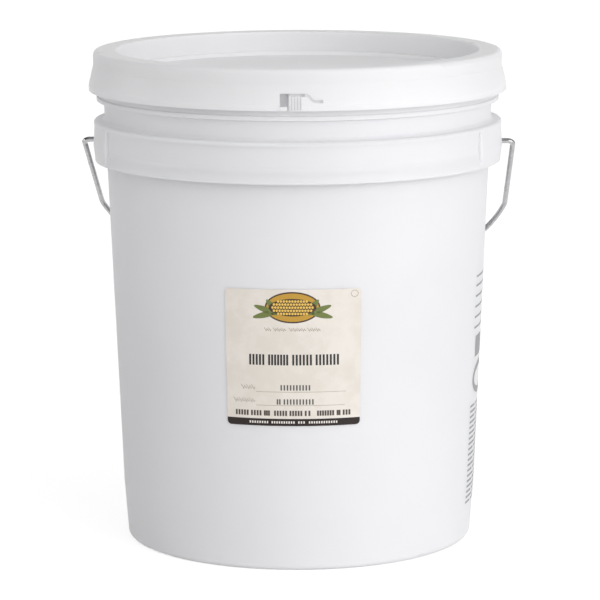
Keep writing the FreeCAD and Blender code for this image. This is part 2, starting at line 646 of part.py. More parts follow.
def make_bail():
    """The wire bail: half of it is a pipe along straight runs and tangent bends, mirrored."""
    body = new_body("bail")
    place = bail_points()
    path = new_sketch(body, "bail_path")
    tip_x = SIZE["ear_radius"] - SIZE["pivot_depth"] + 1.0
    middle_z = -place["depth"]
    quarter = math.pi / 2
    corner_end = FreeCAD.Vector(SIZE["bail_straight"], middle_z, 0)
    bend_top = FreeCAD.Vector(place["bend_centre"].x, 0, 0)
    path.addGeometry([
        Part.LineSegment(FreeCAD.Vector(tip_x, 0, 0), bend_top),
        bail_arc(place["bend_centre"], SIZE["bail_bend"], -quarter, place["lean"]),
        Part.LineSegment(place["arm_top"], place["arm_end"]),
        bail_arc(place["shoulder_centre"], SIZE["bail_shoulder"], place["lean"], place["start"]),
        bail_arc(place["sweep_centre"], SIZE["bail_half_width"], place["start"], place["end"]),
        bail_arc(place["corner_centre"], SIZE["bail_corner"], place["end"], quarter),
        Part.LineSegment(corner_end, FreeCAD.Vector(0, middle_z, 0)),
    ], False)
    # An arc runs counter-clockwise, so the wire enters each at its end point 2 and leaves at its point 1.
    joints = [(0, 2, 1, 2), (1, 1, 2, 1), (2, 2, 3, 2), (3, 1, 4, 2), (4, 1, 5, 2), (5, 1, 6, 1)]
    for joint in joints:
        path.addConstraint(Sketcher.Constraint("Tangent", *joint))
    path.addConstraint(Sketcher.Constraint("Horizontal", 0))
    path.addConstraint(Sketcher.Constraint("Horizontal", 6))
    path.addConstraint(Sketcher.Constraint("PointOnObject", 0, 1, -1))
    path.addConstraint(Sketcher.Constraint("PointOnObject", 4, 3, -2))
    path.addConstraint(Sketcher.Constraint("PointOnObject", 6, 2, -2))
    bind(path, Sketcher.Constraint("DistanceX", -1, 1, 0, 1, tip_x),
         f"{cell('ear_radius')} - {cell('pivot_depth')} + 1")
    bind(path, Sketcher.Constraint("DistanceX", -1, 1, 1, 3, place["bend_centre"].x),
         f"{bail_width()} - {cell('bail_bend')}")
    for edge, name in ((1, "bail_bend"), (3, "bail_shoulder"), (5, "bail_corner")):
        bind(path, Sketcher.Constraint("Radius", edge, SIZE[name]), cell(name))
    bind(path, Sketcher.Constraint("Radius", 4, SIZE["bail_half_width"]), bail_width())
    bind(path, Sketcher.Constraint("Distance", 2, SIZE["bail_arm"]), cell("bail_arm"))
    bind(path, Sketcher.Constraint("DistanceX", 6, 2, 6, 1, SIZE["bail_straight"]), cell("bail_straight"))
    bind(path, Sketcher.Constraint("DistanceX", 2, 2, 2, 1, SIZE["bail_arm"] * math.sin(place["lean"])),
         f"{cell('bail_arm')} * sin({cell('bail_lean')} * 1deg)")
    doc.recompute()

    section = new_sketch(body, "wire_section", "YZ_Plane")
    section.setExpression("AttachmentOffset.Base.z", f"{cell('ear_radius')} - {cell('pivot_depth')} + 1")
    section.addGeometry(Part.Circle(FreeCAD.Vector(0, 0, 0), AXIS_Z, SIZE["wire_radius"]), False)
    section.addConstraint(Sketcher.Constraint("Coincident", 0, 3, -1, 1))
    bind(section, Sketcher.Constraint("Radius", 0, SIZE["wire_radius"]), cell("wire_radius"))
    doc.recompute()
    pipe = body.newObject("PartDesign::AdditivePipe", "bail_half")
    pipe.Profile = section
    pipe.Spine = path
    doc.recompute()
    length = path.Shape.Length
    print("bail: half length %.2f, volume ratio %.4f, hang %.2f, depth %.2f" % (
        length, pipe.Shape.Volume / (length * math.pi * SIZE["wire_radius"] ** 2),
        hang_angle(), place["depth"]))
    whole = body.newObject("PartDesign::Mirrored", "bail_whole")
    whole.Originals = [pipe]
    whole.MirrorPlane = (origin_item(body, "YZ_Plane"), [""])
    body.Tip = whole
    doc.recompute()
    hang(body)
    return body


def make_grip():
    """The moulded hand grip on the straight middle of the bail."""
    body = new_body("hand_grip")
    sketch = new_sketch(body, "grip_outline", "XY_Plane")
    bore = f"{cell('wire_radius')} + {cell('grip_bore_gap')}"
    neck = f"{cell('grip_half_length')} - {cell('grip_collar_width')}"
    outline(sketch, [
        (f"-{cell('grip_half_length')}", bore),
        (cell("grip_half_length"), bore),
        (cell("grip_half_length"), cell("grip_collar")),
        (neck, cell("grip_collar")),
        (neck, cell("grip_radius")),
        (f"-({neck})", cell("grip_radius")),
        (f"-({neck})", cell("grip_collar")),
        (f"-{cell('grip_half_length')}", cell("grip_collar")),
    ])
    revolve(body, "grip_turned", sketch, axis="X_Axis")
    neck_end = SIZE["grip_half_length"] - SIZE["grip_collar_width"]
    ends = (neck_end, SIZE["grip_half_length"])
    collar = [(SIZE["grip_collar"], side * end) for side in (-1, 1) for end in ends]
    round_edges(body, "collar_rounding", collar, cell("grip_round"), AXIS_X)
    depth = bail_points()["depth"]
    swing = FreeCAD.Placement(FreeCAD.Vector(0, 0, SIZE["pivot_height"]),
                              FreeCAD.Rotation(AXIS_X, hang_angle()))
    body.Placement = swing * FreeCAD.Placement(FreeCAD.Vector(0, 0, -depth), FreeCAD.Rotation())
    doc.recompute()
    return body


def make_label():
    """The paper label: a thin patch that follows the wall, with rounded corners."""
    body = new_body("label")
    sketch = new_sketch(body, "label_outline")
    top = f"{cell('label_foot')} + {cell('label_height')}"
    inner_low = f"{wall_at(cell('label_foot'))} + {cell('label_gap')}"
    inner_top = f"{wall_at('(' + top + ')')} + {cell('label_gap')}"
    outline(sketch, [
        (inner_low, cell("label_foot")),
        (f"{inner_low} + {cell('label_thickness')}", cell("label_foot")),
        (f"{inner_top} + {cell('label_thickness')}", top),
        (inner_top, top),
    ])
    patch = revolve(body, "label_patch", sketch, f"2 * {cell('label_half_angle')}")
    corners = []
    for number, edge in enumerate(patch.Shape.Edges, start=1):
        straight = isinstance(edge.Curve, (Part.Line, Part.LineSegment))
        if straight and edge.Length < 2 * SIZE["label_thickness"]:
            corners.append(f"Edge{number}")
    if len(corners) != 4:
        raise RuntimeError("the label has no four corners")
    fillet = body.newObject("PartDesign::Fillet", "label_corners")
    fillet.Base = (patch, corners)
    fillet.setExpression("Radius", cell("label_corner"))
    doc.recompute()
    body.Placement = FreeCAD.Placement(FreeCAD.Vector(0, 0, 0),
                                       FreeCAD.Rotation(AXIS_Z, SIZE["label_turn"] - 90))
    doc.recompute()
    return body


def check_and_write(parts):
    """Refuse a failed object or a bad shape, then write each part to its own file."""
    doc.recompute()
    for item in doc.Objects:
        if "Invalid" in item.State or "Error" in item.State:
            raise RuntimeError(f"{item.Label} failed: {item.State}")
    os.makedirs("parts", exist_ok=True)
    for part in parts:
        shape = part.Shape
        if shape.isNull() or not shape.isValid():
            raise RuntimeError(f"{part.Label} has no valid shape")
        if len(shape.Solids) != 1:
            raise RuntimeError(f"{part.Label} is {len(shape.Solids)} solids")
        shape.exportStep(f"parts/{part.Label}.step")
        print("%-10s volume %.1f cm3, box %s" % (part.Label, shape.Volume / 1000, shape.BoundBox))


make_sheet()
check_and_write([make_pail(), make_lid(), make_bail(), make_grip(), make_label()])
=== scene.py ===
"""Dress the shut syrup pail: its plastics, wire bail, printed paper label and the studio round it."""
import math

import bmesh
import bpy
from mathutils import Matrix, Vector


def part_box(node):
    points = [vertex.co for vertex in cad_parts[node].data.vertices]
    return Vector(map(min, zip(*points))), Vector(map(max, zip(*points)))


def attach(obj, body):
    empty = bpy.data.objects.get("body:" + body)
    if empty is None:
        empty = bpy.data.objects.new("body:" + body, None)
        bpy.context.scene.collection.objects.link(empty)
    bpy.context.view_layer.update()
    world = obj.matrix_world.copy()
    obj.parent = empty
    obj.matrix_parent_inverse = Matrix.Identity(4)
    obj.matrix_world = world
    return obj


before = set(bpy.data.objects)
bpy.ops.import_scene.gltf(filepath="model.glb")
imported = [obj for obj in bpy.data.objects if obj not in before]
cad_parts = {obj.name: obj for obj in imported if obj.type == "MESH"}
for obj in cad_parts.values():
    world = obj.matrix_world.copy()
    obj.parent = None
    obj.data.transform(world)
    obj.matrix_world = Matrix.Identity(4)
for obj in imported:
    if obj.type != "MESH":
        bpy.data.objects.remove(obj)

bl_info = {
    "name": "Syrup Pail",
    "version": (1, 0, 0),
    "blender": (4, 5, 0),
    "location": "View3D > Sidebar > Syrup Pail",
    "description": "Finishes, prints and lights a five gallon plastic pail of corn syrup",
    "category": "Object",
}

MM = 0.001
LABEL_LOW, LABEL_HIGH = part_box("label")
PAIL_LOW, PAIL_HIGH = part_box("pail")
LID_LOW, LID_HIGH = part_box("lid")
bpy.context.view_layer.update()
LOW_RING_EDGE, TOP_RING_EDGE = 288 * MM, 316 * MM  # heights of the two stacking rings' edges
WHITE = (1, 1, 1)


# Sizes and colours that a user would change.

class PailColours(bpy.types.PropertyGroup):
    """Colours of the pail's plastics, metal, paper and inks."""
    pail: bpy.props.FloatVectorProperty(
        name="Pail", description="White plastic of the pail", subtype="COLOR",
        default=(0.845, 0.843, 0.862))
    lid: bpy.props.FloatVectorProperty(
        name="Lid", description="White plastic of the lid", subtype="COLOR",
        default=(0.9, 0.898, 0.915))
    scuff: bpy.props.FloatVectorProperty(
        name="Scuff", description="Grey rubbed into the plastic where it is handled", subtype="COLOR",
        default=(0.62, 0.62, 0.62))
    wire: bpy.props.FloatVectorProperty(
        name="Wire", description="Galvanised steel of the bail", subtype="COLOR",
        default=(0.52, 0.52, 0.53))
    grip: bpy.props.FloatVectorProperty(
        name="Grip", description="Plastic of the hand grip", subtype="COLOR", default=(0.8, 0.81, 0.82))
    paper: bpy.props.FloatVectorProperty(
        name="Paper", description="Cream paper of the label", subtype="COLOR",
        default=(0.86, 0.805, 0.745))
    paper_shade: bpy.props.FloatVectorProperty(
        name="Paper mottling", description="Darker clouds printed on the paper", subtype="COLOR",
        default=(0.8, 0.74, 0.67))
    band: bpy.props.FloatVectorProperty(
        name="Band", description="Dark brown band along the label's foot", subtype="COLOR",
        default=(0.016, 0.007, 0.005))
    title_ink: bpy.props.FloatVectorProperty(
        name="Title ink", description="Near-black ink of the title", subtype="COLOR",
        default=(0.012, 0.011, 0.012))
    small_ink: bpy.props.FloatVectorProperty(
        name="Small ink", description="Grey ink of the two small lines", subtype="COLOR",
        default=(0.1, 0.095, 0.09))
    foot_ink: bpy.props.FloatVectorProperty(
        name="Foot ink", description="Brown ink of the line over the band", subtype="COLOR",
        default=(0.07, 0.05, 0.038))
    pale_ink: bpy.props.FloatVectorProperty(
        name="Pale ink", description="Soft brown ink of the script and the tagline", subtype="COLOR",
        default=(0.36, 0.3, 0.24))
    gold: bpy.props.FloatVectorProperty(
        name="Gold", description="Golden ground of the medallion", subtype="COLOR",
        default=(0.56, 0.31, 0.025))
    kernel: bpy.props.FloatVectorProperty(
        name="Kernel", description="Yellow of the corn", subtype="COLOR", default=(0.85, 0.55, 0.1))
    outline: bpy.props.FloatVectorProperty(
        name="Outline", description="Dark outline of the medallion", subtype="COLOR",
        default=(0.05, 0.022, 0.008))
    leaf: bpy.props.FloatVectorProperty(
        name="Leaf", description="Green of the husk leaves", subtype="COLOR",
        default=(0.16, 0.2, 0.045))
    # Painted shade: the grey painted into the tear strip's groove and between its ribs, where shadow falls.
    soil: bpy.props.FloatVectorProperty(
        name="Tab shade", description="Grey shade painted into the lid's tear strip", subtype="COLOR",
        default=(0.72, 0.72, 0.73))
    side_ink: bpy.props.FloatVectorProperty(
        name="Side ink", description="Grey ink of the print on the pail's side", subtype="COLOR",
        default=(0.34, 0.34, 0.355))


class PrintSizes(bpy.types.PropertyGroup):
    """Sizes of the print, measured up from the label's foot or, on the side, from the pail's."""
    band_height: bpy.props.FloatProperty(
        name="Band height", description="Height of the dark band", unit="LENGTH", default=5.3 * MM)
    ink_rise: bpy.props.FloatProperty(
        name="Ink rise", description="How far the first ink stands off the paper", unit="LENGTH",
        default=0.04 * MM)
    medallion_height: bpy.props.FloatProperty(
        name="Medallion place", description="Height of the medallion's middle", unit="LENGTH",
        default=87.5 * MM)
    medallion_width: bpy.props.FloatProperty(
        name="Medallion width", description="Width of the medallion", unit="LENGTH", default=40 * MM)
    medallion_depth: bpy.props.FloatProperty(
        name="Medallion depth", description="Height of the medallion itself", unit="LENGTH",
        default=23 * MM)
    title_height: bpy.props.FloatProperty(
        name="Title place", description="Height of the title's base line", unit="LENGTH",
        default=45.0 * MM)
    title_size: bpy.props.FloatProperty(
        name="Title size", description="Height of the title's bars", unit="LENGTH", default=7.9 * MM)
    title_pitch: bpy.props.FloatProperty(
        name="Title pitch", description="Spacing of the title's bars", unit="LENGTH", default=2.35 * MM)
    small_size: bpy.props.FloatProperty(
        name="Small size", description="Height of the small bars", unit="LENGTH", default=4.0 * MM)
    side_middle: bpy.props.FloatProperty(
        name="Side print place", description="How far behind the pail's middle the side print lies",
        unit="LENGTH", default=-3 * MM)
    side_width: bpy.props.FloatProperty(
        name="Side print width", description="Width of the print on the pail's side", unit="LENGTH",
        default=66 * MM)
    side_foot: bpy.props.FloatProperty(
        name="Side print foot", description="Height of the lowest line on the pail's side", unit="LENGTH",
        default=30 * MM)


class StudioSettings(bpy.types.PropertyGroup):
    """Where the camera stands and how bright the light is."""
    azimuth: bpy.props.FloatProperty(
        name="Azimuth", description="Turn of the camera from the front", subtype="ANGLE",
        default=math.radians(3.2))
    elevation: bpy.props.FloatProperty(
        name="Elevation", description="Camera's angle above the horizon", subtype="ANGLE",
        default=math.radians(9.84))
    distance: bpy.props.FloatProperty(
        name="Distance", description="Distance from the camera to its aim", unit="LENGTH",
        default=2.558)
    aim_height: bpy.props.FloatProperty(
        name="Aim height", description="Height of the aim above the floor", unit="LENGTH",
        default=0.1781)
    aim_side: bpy.props.FloatProperty(
        name="Aim side", description="How far the aim lies to the right of the pail's axis", unit="LENGTH",
        default=1.27 * MM)
    roll: bpy.props.FloatProperty(
        name="Roll", description="Tilt of the camera about its own line of sight", subtype="ANGLE",
        default=math.radians(-0.19))
    lens: bpy.props.FloatProperty(
        name="Lens", description="Focal length in millimetres on a 36 mm sensor", default=202.3)
    key_power: bpy.props.FloatProperty(
        name="Key power", description="Power of the large lamp at the front right", unit="POWER",
        default=23.5)
    side_power: bpy.props.FloatProperty(
        name="Side power", description="Power of the spot lamp on the left", unit="POWER", default=7.5)
    surround: bpy.props.FloatProperty(
        name="Surround", description="Brightness of the soft light all round", default=0.64)


# Shader maths and materials.

class Signal:
    """A shader socket that can be added, multiplied and compared like a number."""

    def __init__(self, tree, socket):
        self.tree = tree
        self.socket = socket

    def math(self, operation, *values):
        """A Math node on these values, each of them a signal or a number."""
        node = self.tree.nodes.new("ShaderNodeMath")
        node.operation = operation
        for place, value in enumerate(values):
            plug_in(self.tree, node.inputs[place], value)
        return Signal(self.tree, node.outputs[0])

    def __add__(self, other):
        return self.math("ADD", self, other)

    __radd__ = __add__

    def __sub__(self, other):
        return self.math("SUBTRACT", self, other)

    def __rsub__(self, other):
        return self.math("SUBTRACT", other, self)

    def __mul__(self, other):
        return self.math("MULTIPLY", self, other)

    __rmul__ = __mul__

    def __lt__(self, other):
        return self.math("LESS_THAN", self, other)

    def __gt__(self, other):
        return self.math("GREATER_THAN", self, other)

    def __abs__(self):
        return self.math("ABSOLUTE", self)

    def at_least(self, other):
        """The larger of this signal and another value."""
        return self.math("MAXIMUM", self, other)


def plug_in(tree, socket, value):
    """Link a signal to a socket, or set the socket to a plain value."""
    if isinstance(value, Signal):
        tree.links.new(value.socket, socket)
    elif hasattr(socket.default_value, "__len__") and len(socket.default_value) == 4 and len(value) == 3:
        socket.default_value = (*value, 1)
    else:
        socket.default_value = value


class Nodes:
    """A tree of shader nodes under construction."""

    def __init__(self, tree):
        self.tree = tree
        self.tree.nodes.clear()

    def node(self, kind, settings=None, values=None, output=0):
        """Add a node: its own settings first, then the values or links of its sockets."""
        node = self.tree.nodes.new(kind)
        for name, value in (settings or {}).items():
            setattr(node, name, value)
        for name, value in (values or {}).items():
            plug_in(self.tree, node.inputs[name], value)
        return Signal(self.tree, node.outputs[output])

    def ramp(self, signal, low, high, out_low=0.0, out_high=1.0):
        """A smooth step of a signal between two values."""
        return self.node("ShaderNodeMapRange", {"interpolation_type": "SMOOTHSTEP"}, {
            "Value": signal, "From Min": low, "From Max": high, "To Min": out_low, "To Max": out_high})

    def mix_shaders(self, share, first, second):
        """The first shader where the share is 0, the second where it is 1."""
        return self.node("ShaderNodeMixShader", values={0: share, 1: first, 2: second})

    def show(self, shader, output_kind="ShaderNodeOutputMaterial"):
        """End the tree with this shader."""
        output = self.tree.nodes.new(output_kind)
        self.tree.links.new(shader.socket, output.inputs["Surface"])


class Finish(Nodes):
    """A material under construction."""

    def __init__(self, name):
        self.material = bpy.data.materials.new(name)
        self.material.use_nodes = True
        super().__init__(self.material.node_tree)

    def place(self, scale=(1, 1, 1)):
        """Object coordinates, stretched by a scale."""
        where = self.node("ShaderNodeTexCoord", output="Object")
        return self.node("ShaderNodeMapping", values={"Vector": where, "Scale": scale})

    def height(self):
        """Height above the floor, in metres."""
        where = self.node("ShaderNodeTexCoord", output="Object")
        return self.node("ShaderNodeSeparateXYZ", values={"Vector": where}, output="Z")

    def noise(self, scale, detail=2.0, roughness=0.5, stretch=(1, 1, 1)):
        """Cloudy noise from 0 to 1, in cells per metre."""
        return self.node("ShaderNodeTexNoise", values={
            "Vector": self.place(stretch), "Scale": scale, "Detail": detail, "Roughness": roughness})

    def blend(self, share, first, second):
        """Mix two colours by a share."""
        return self.node("ShaderNodeMix", {"data_type": "RGBA"}, {0: share, 6: first, 7: second}, output=2)

    def bump(self, strength, depth, relief):
        """Fine relief of a depth in metres."""
        return self.node("ShaderNodeBump", values={
            "Strength": strength, "Distance": depth, "Height": relief})

    def surface(self, **values):
        """Add the Principled shader with these socket values and end the material with it."""
        names = {name.replace("_", " "): value for name, value in values.items()}
        self.show(self.node("ShaderNodeBsdfPrincipled", values=names, output="BSDF"))
        return self.material


def toned(colour, factor):
    """A colour made darker or lighter by a factor, no part of it past 1."""
    return tuple(min(1, part * factor) for part in colour)


def moulded_plastic(name, colour, scuff, roughness, grain_scale, rub_levels):
    """Satin moulded plastic: faint clouds, fine grain, and grey rubs at the heights that touch things."""
    cloud_tone, rub_cover, rub_dulling, gloss_spread = 0.975, 0.4, 0.3, 0.05
    finish = Finish(name)
    clouds = finish.noise(9, detail=3)
    shade = finish.blend(finish.ramp(clouds, 0.3, 0.7), toned(colour, cloud_tone), colour)
    scratches = finish.noise(60, detail=4, roughness=0.65, stretch=(1, 1, 9))
    height = finish.height()
    worn = sum(finish.ramp(abs(height - level), 0, reach, 1, 0) for level, reach in rub_levels)
    rubbed = finish.ramp(scratches, 0.6, 0.74) * worn * rub_cover
    shade = finish.blend(rubbed, shade, scuff)
    grain = finish.noise(grain_scale, detail=3, roughness=0.6)
    swell = finish.noise(28, detail=1)
    gloss = finish.ramp(clouds, 0.2, 0.8, roughness - gloss_spread, roughness + gloss_spread)
    return finish.surface(
        Base_Color=shade,
        Roughness=gloss + rubbed * rub_dulling,
        Normal=finish.bump(0.35, 0.12 * MM, grain * 0.35 + swell * 0.9),
        IOR=1.5,
        Specular_IOR_Level=0.32,
        Subsurface_Weight=0.35,
        Subsurface_Radius=(1.0, 1.0, 1.0),
        Subsurface_Scale=7 * MM,
    )


def galvanised_wire(name, colour):
    """Drawn and zinc-dipped wire: small spangles and a few dull spots."""
    dark_tone, bright_tone, dull_tone = 0.82, 1.25, 0.6
    finish = Finish(name)
    spangle = finish.node(
        "ShaderNodeTexVoronoi", values={"Vector": finish.place(), "Scale": 420}, output="Color")
    tone = finish.node("ShaderNodeRGBToBW", values={"Color": spangle})
    dull = finish.ramp(finish.noise(160, detail=4, roughness=0.7), 0.56, 0.7)
    shade = finish.blend(tone * 0.5, toned(colour, dark_tone), toned(colour, bright_tone))
    shade = finish.blend(dull * 0.4, shade, toned(colour, dull_tone))
    return finish.surface(
        Base_Color=shade,
        Metallic=1.0,
        Roughness=tone * 0.08 + dull * 0.15 + 0.16,
        Normal=finish.bump(0.2, 0.04 * MM, finish.noise(900, detail=3)),
    )


def label_paper(name, colours, band_top):
    """Cream paper with printed mottling, and the dark band along its foot."""
    paper_roughness, band_gloss, fleck_cover = 0.58, 0.1, 0.25
    finish = Finish(name)
    clouds = finish.noise(55, detail=5, roughness=0.62)
    flecks = finish.noise(420, detail=2)
    paper = finish.blend(finish.ramp(clouds, 0.36, 0.66), colours.paper_shade, colours.paper)
    paper = finish.blend(finish.ramp(flecks, 0.62, 0.74) * fleck_cover, paper, colours.paper_shade)
    band = finish.height() < band_top
    fibres = finish.noise(700, detail=3, roughness=0.7)
    return finish.surface(
        Base_Color=finish.blend(band, paper, colours.band),
        Roughness=band * -band_gloss + paper_roughness,
        Normal=finish.bump(0.25, 0.05 * MM, fibres),
        IOR=1.45,
    )


def printed_ink(name, colour, roughness=0.55):
    """Flat ink with slightly uneven cover: where it is thin, it fades a little towards pale grey."""
    pale_grey, fading, thin_share = 0.8, 0.12, 0.35
    finish = Finish(name)
    cover = finish.noise(1500, detail=2)
    faded = tuple(part + (pale_grey - part) * fading for part in colour)
    shade = finish.blend(finish.ramp(cover, 0.35, 0.75) * thin_share, colour, faded)
    return finish.surface(Base_Color=shade, Roughness=roughness + cover * 0.06)


def paint(obj, material):
    """Give every material slot of an object one material."""
    if not obj.material_slots:
        obj.data.materials.append(material)
    for slot in obj.material_slots:
        slot.material = material


# Flat print, drawn in front of its surface and then wrapped onto it.

SHEET_GAP = 20 * MM     # how far a sheet is drawn in front of the label, or beside the pail
WIDEST_COLUMN = 3 * MM  # of a block of print, so that it can follow a curve


def clear_selection():
    """Leave edit mode and deselect everything."""
    if bpy.context.object and bpy.context.object.mode != "OBJECT":
        bpy.ops.object.mode_set(mode="OBJECT")
    bpy.ops.object.select_all(action="DESELECT")


def take_new(name):
    """Name the object that was just added and return it."""
    obj = bpy.context.object
    obj.name = name
    return obj


class Sheet:
    """A flat sheet of print facing -Y, on which marks are drawn before they are wrapped onto a surface."""

    def __init__(self, middle, foot, surface=LABEL_LOW.y):
        self.middle = middle
        self.foot = foot
        self.depth = surface - SHEET_GAP
        self.marks = []

    def _spot(self, across, up):
        """Where a spot of the sheet lies in the scene."""
        return (self.middle + across, self.depth, self.foot + up)

    def _keep(self, width, height):
        """Stretch the mark that was just added to its size, and count it in."""
        mark = take_new("mark")
        mark.scale = (width, height, 1)
        self.marks.append(mark)
        return mark

    def block(self, across, up, width, height, turn=0.0):
        """A rectangle, cut into columns that follow the curve."""
        clear_selection()
        columns = max(1, math.ceil(width / WIDEST_COLUMN))
        bpy.ops.mesh.primitive_grid_add(
            x_subdivisions=columns, y_subdivisions=1, size=1, location=self._spot(across, up),
            rotation=(math.pi / 2, -turn, 0))
        self._keep(width, height)

    def disc(self, across, up, width, height, turn=0.0, sides=40, rings=4, point=0.0):
        """An ellipse, drawn in rings; with a point, its two ends are pulled out like a leaf's."""
        blunt_share = 0.6
        clear_selection()
        bpy.ops.mesh.primitive_circle_add(
            vertices=sides, radius=0.5, location=self._spot(across, up), rotation=(math.pi / 2, -turn, 0))
        bpy.ops.object.mode_set(mode="EDIT")
        for ring in range(rings, 1, -1):
            share = (ring - 1) / ring
            bpy.ops.mesh.extrude_edges_move()
            bpy.ops.transform.resize(value=(share, share, share))
        bpy.ops.mesh.merge(type="CENTER")
        bpy.ops.object.mode_set(mode="OBJECT")
        mark = self._keep(width, height)
        if point:
            for vertex in mark.data.vertices:
                vertex.co.x *= 1 + point * max(0, abs(vertex.co.x) * 2 - blunt_share)

    def ring(self, across, up, width, height, line, sides=48):
        """A thin elliptical line."""
        clear_selection()
        bpy.ops.mesh.primitive_circle_add(
            vertices=sides, radius=0.5, location=self._spot(across, up), rotation=(math.pi / 2, 0, 0))
        self._keep(width, height)
        bpy.ops.object.transform_apply(location=False, rotation=False, scale=True)
        bpy.ops.object.mode_set(mode="EDIT")
        bpy.ops.mesh.extrude_edges_move()
        bpy.ops.transform.resize(value=((width - 2 * line) / width, 1, (height - 2 * line) / height))
        bpy.ops.object.mode_set(mode="OBJECT")

    def wrap(self, name, target, rise, material, slot="label_paper", to_side=False):
        """Join the marks, press them onto the target's front or right side, and lift them by a rise."""
        clear_selection()
        for mark in self.marks:
            mark.select_set(True)
        bpy.context.view_layer.objects.active = self.marks[0]
        bpy.ops.object.join()
        piece = take_new(name)
        bpy.ops.object.transform_apply(location=True, rotation=True, scale=True)
        face_out(piece)
        if to_side:
            piece.rotation_euler.z = math.pi / 2
            bpy.ops.object.transform_apply(location=True, rotation=True, scale=True)
        press = piece.modifiers.new("press", "SHRINKWRAP")
        press.target = target
        press.wrap_method = "PROJECT"
        press.use_project_z = False
        press.use_project_x = press.use_negative_direction = to_side
        press.use_project_y = press.use_positive_direction = not to_side
        press.wrap_mode = "ABOVE_SURFACE"
        press.offset = rise
        bpy.ops.object.modifier_apply(modifier="press")
        paint(piece, material)
        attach(piece, "bucket")
        self.marks = []


def face_out(piece):
    """Turn every face of a flat sheet towards -Y."""
    clear_selection()
    bpy.context.view_layer.objects.active = piece
    piece.select_set(True)
    mesh = bmesh.new()
    mesh.from_mesh(piece.data)
    back = [face for face in mesh.faces if face.normal.y > 0]
    bmesh.ops.reverse_faces(mesh, faces=back)
    mesh.to_mesh(piece.data)
    mesh.free()


def label_sheet():
    """A fresh sheet of print in front of the label."""
    return Sheet((LABEL_LOW.x + LABEL_HIGH.x) / 2, LABEL_LOW.z)


# Operators, one for each piece or group of like pieces.

class FinishPlastics(bpy.types.Operator):
    """Give the pail and its lid their moulded white plastic"""
    bl_idname = "syrup.finish_plastics"
    bl_label = "Finish pail and lid"

    def execute(self, context):
        colours = context.scene.pail_colours
        # Each height that is rubbed, and how far up and down the rubs reach.
        pail_rubs = ((PAIL_LOW.z, 12 * MM), (LOW_RING_EDGE, 3 * MM), (TOP_RING_EDGE, 3 * MM))
        lid_rubs = ((LID_HIGH.z, 2 * MM), (LID_LOW.z, 2 * MM))
        paint(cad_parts["pail"], moulded_plastic(
            "pail white plastic", colours.pail, colours.scuff, 0.5, 1400, pail_rubs))
        paint(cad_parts["lid"], moulded_plastic(
            "lid white plastic", colours.lid, colours.scuff, 0.45, 1700, lid_rubs))
        return {"FINISHED"}


class FinishBail(bpy.types.Operator):
    """Give the bail its galvanised wire and the hand grip its plastic"""
    bl_idname = "syrup.finish_bail"
    bl_label = "Finish bail and grip"

    def execute(self, context):
        colours = context.scene.pail_colours
        paint(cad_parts["bail"], galvanised_wire("galvanised wire", colours.wire))
        grip_low, grip_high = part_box("hand_grip")
        grip_rubs = ((grip_low.z, 8 * MM), (grip_high.z, 3 * MM))
        paint(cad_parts["hand_grip"], moulded_plastic(
            "grip plastic", colours.grip, colours.scuff, 0.5, 1100, grip_rubs))
        return {"FINISHED"}


class FinishLabel(bpy.types.Operator):
    """Give the label its mottled paper and dark foot band"""
    bl_idname = "syrup.finish_label"
    bl_label = "Finish label paper"

    def execute(self, context):
        band_top = LABEL_LOW.z + context.scene.print_sizes.band_height
        paint(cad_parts["label"], label_paper(
            "mottled label paper", context.scene.pail_colours, band_top))
        return {"FINISHED"}


class PrintMedallion(bpy.types.Operator):
    """Print the golden medallion with its ear of corn and husk leaves"""
    bl_idname = "syrup.print_medallion"
    bl_label = "Print medallion"

    def execute(self, context):
        sizes = context.scene.print_sizes
        colours = context.scene.pail_colours
        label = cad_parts["label"]
        width, depth, middle = sizes.medallion_width, sizes.medallion_depth, sizes.medallion_height
        rise = sizes.ink_rise

        sheet = label_sheet()
        sheet.disc(0, middle, width, depth, sides=72, rings=8)
        sheet.wrap("medallion_outline", label, rise, printed_ink("outline ink", colours.outline))

        outline = 2.2 * MM
        sheet.disc(0, middle, width - outline, depth - outline, sides=72, rings=8)
        sheet.wrap("medallion_ground", label, 1.5 * rise, printed_ink("gold ink", colours.gold, 0.4))

        # Each leaf's slope in degrees, its place as a share of the medallion's width, and its length.
        leaves = ((20, 0.47, 16 * MM), (-14, 0.5, 15 * MM), (48, 0.36, 11 * MM))
        leaf_girth, leaf_drop, lift_per_degree = 4.4 * MM, 4 * MM, 0.1 * MM
        for side in (-1, 1):
            for slope, reach, length in leaves:
                up = middle - leaf_drop + slope * lift_per_degree
                sheet.disc(side * width * reach, up, length, leaf_girth,
                           turn=side * math.radians(slope), sides=24, rings=4, point=0.5)
        sheet.wrap("husk_leaves", label, 2 * rise, printed_ink("leaf ink", colours.leaf))

        cob, girth = 0.82 * width, 0.56 * depth
        sheet.disc(0, middle, cob, girth, sides=48, rings=7, point=0.12)
        sheet.wrap("cob_outline", label, 2.5 * rise, printed_ink("cob outline ink", colours.outline))

        rows, step, border = 5, 2.05 * MM, 1.2 * MM
        pitch = girth * 0.88 / rows
        for row in range(rows):
            up = (row - (rows - 1) / 2) * pitch
            half = cob / 2 * math.sqrt(1 - (up / (girth / 2)) ** 2) - border
            count = 2 * int(half / step) + row % 2
            for place in range(count + 1):
                across = (place - count / 2) * step
                sheet.disc(across, middle + up, step * 0.86, pitch * 0.84, sides=12, rings=2)
        sheet.wrap("kernels", label, 3 * rise, printed_ink("kernel ink", colours.kernel, 0.42))
        return {"FINISHED"}


